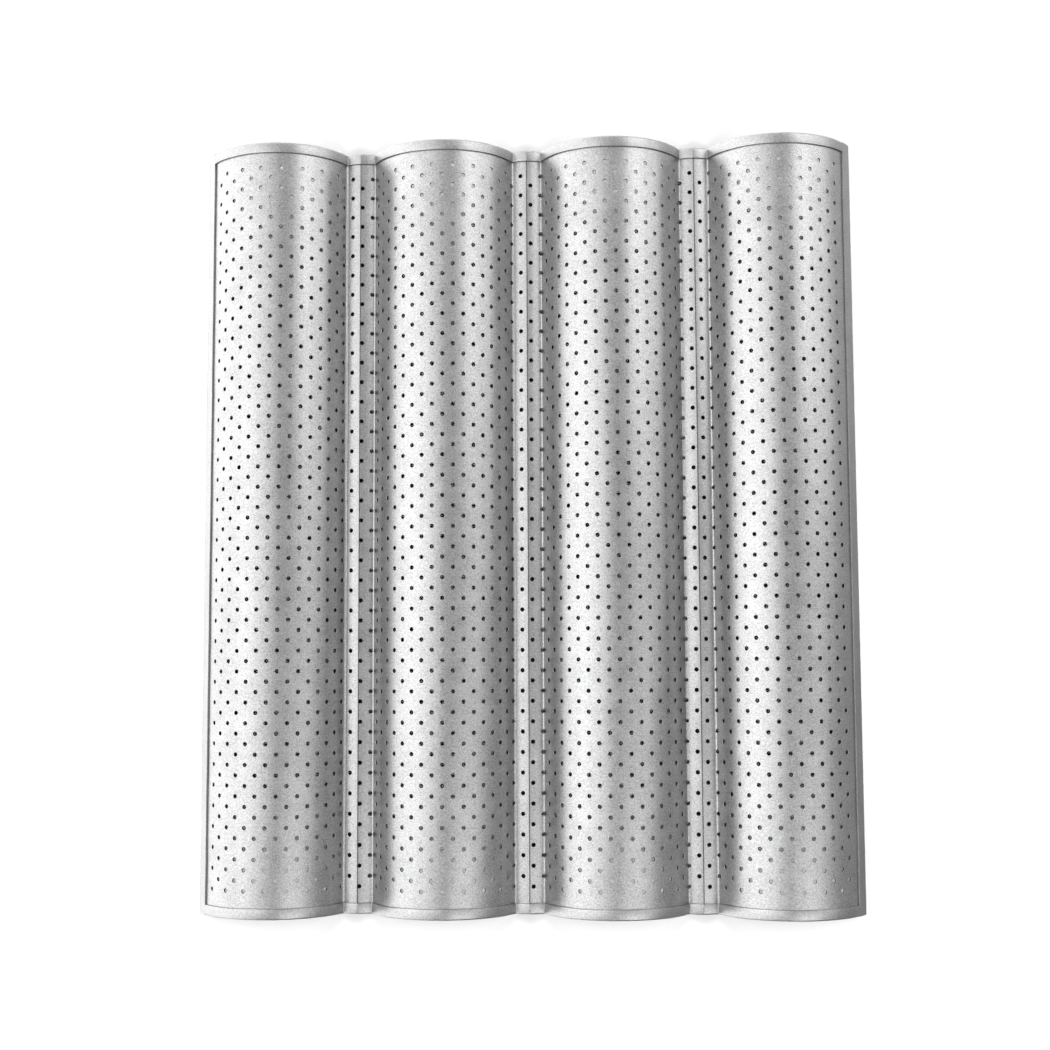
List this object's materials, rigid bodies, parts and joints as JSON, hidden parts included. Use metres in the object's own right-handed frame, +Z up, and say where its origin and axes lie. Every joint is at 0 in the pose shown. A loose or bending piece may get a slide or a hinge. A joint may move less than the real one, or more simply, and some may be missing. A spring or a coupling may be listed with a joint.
{
  "type": "baguette tray",
  "caption": "Perforated metal baguette tray, bent from sheet into parallel round-bottomed channels with creased ridges between them and doubled hems round the edge.",
  "frame": {"origin": "below the tray's centre, at the level of the surface it stands on with its channels arched upwards", "axes": "+X across the channels, +Y along the channels, +Z up out of the channels' outer faces; in use the tray is turned over, so its troughs open along -Z here"},
  "size_m": [0.3256, 0.381, 0.0245],
  "materials": {
    "sheet_metal": "satin, fine mill grain",
    "hem_metal": "satin, folded edge"
  },
  "bodies": {
    "root": {"channel_1": "sheet_metal", "channel_2": "sheet_metal", "channel_3": "sheet_metal", "channel_4": "sheet_metal", "ridge_1": "sheet_metal", "ridge_2": "sheet_metal", "ridge_3": "sheet_metal", "front_hem": "hem_metal", "rear_hem": "hem_metal", "left_hem": "hem_metal", "right_hem": "hem_metal"}
  },
  "joints": []
}
